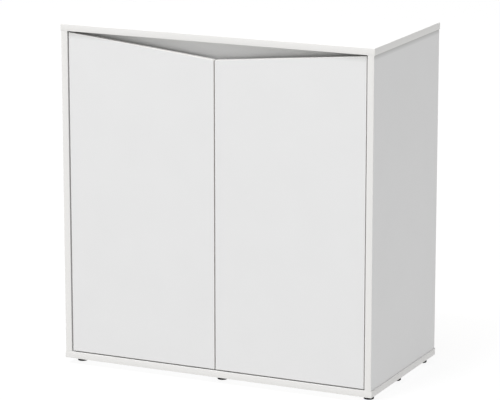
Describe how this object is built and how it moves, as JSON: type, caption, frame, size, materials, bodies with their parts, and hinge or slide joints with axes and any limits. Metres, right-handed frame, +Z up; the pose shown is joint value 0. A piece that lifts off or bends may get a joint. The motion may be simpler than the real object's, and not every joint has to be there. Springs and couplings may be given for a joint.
{
  "type": "aquarium stand cabinet",
  "caption": "Low cabinet that carries an aquarium: box on short feet with two inset doors on concealed hinges, a V-shaped finger notch and a shelf inside.",
  "frame": {"origin": "centre of the footprint at floor level, under the feet", "axes": "+Z up, the long way of the cabinet; +X to the right seen from the front; +Y to the back, the short way, so the doors face -Y"},
  "size_m": [0.8, 0.4, 0.83],
  "materials": {
    "melamine_board": "satin",
    "edge_band": "satin",
    "hardboard_back": "satin",
    "white_cap": "satin",
    "foot_plastic": "matte",
    "clear_buffer": "satin",
    "beech_dowel": "matte",
    "zinc_casting": "satin",
    "nickelled_steel": "satin"
  },
  "bodies": {
    "cabinet": {"top_panel": "melamine_board", "bottom_panel": "melamine_board", "left_side_panel": "melamine_board", "right_side_panel": "melamine_board", "centre_partition": "melamine_board", "front_rail": "melamine_board", "left_back_panel": "hardboard_back", "right_back_panel": "hardboard_back", "shelf": "melamine_board", "shelf_pins": "nickelled_steel", "top_edge_bands": "edge_band", "bottom_edge_bands": "edge_band", "upright_edge_bands": "edge_band", "rail_edge_band": "edge_band", "shelf_edge_band": "edge_band", "cam_housings": "zinc_casting", "cam_bolts": "nickelled_steel", "cam_cover_caps": "white_cap", "wooden_dowels": "beech_dowel", "back_panel_screws": "nickelled_steel", "feet": "foot_plastic", "foot_screws": "nickelled_steel", "door_buffers": "clear_buffer", "left_hinge_plates": "nickelled_steel", "right_hinge_plates": "nickelled_steel", "left_plate_screws": "nickelled_steel", "right_plate_screws": "nickelled_steel", "left_hinge_arms": "nickelled_steel", "right_hinge_arms": "nickelled_steel", "left_arm_screws": "nickelled_steel", "right_arm_screws": "nickelled_steel"},
    "left_door": {"left_door": "melamine_board", "left_door_edge_bands": "edge_band", "left_hinge_cups": "nickelled_steel", "left_hinge_pins": "nickelled_steel", "left_cup_screws": "nickelled_steel"},
    "right_door": {"right_door": "melamine_board", "right_door_edge_bands": "edge_band", "right_hinge_cups": "nickelled_steel", "right_hinge_pins": "nickelled_steel", "right_cup_screws": "nickelled_steel"}
  },
  "joints": [
    {"name": "left_door_swing", "type": "hinge", "parent": "cabinet", "child": "left_door", "pos_m": [-0.3695, -0.1905, 0.144], "axis": [0, 0, -1], "range_deg": [0, 95]},
    {"name": "right_door_swing", "type": "hinge", "parent": "cabinet", "child": "right_door", "pos_m": [0.3695, -0.1905, 0.144], "axis": [0, 0, 1], "range_deg": [0, 95]}
  ]
}
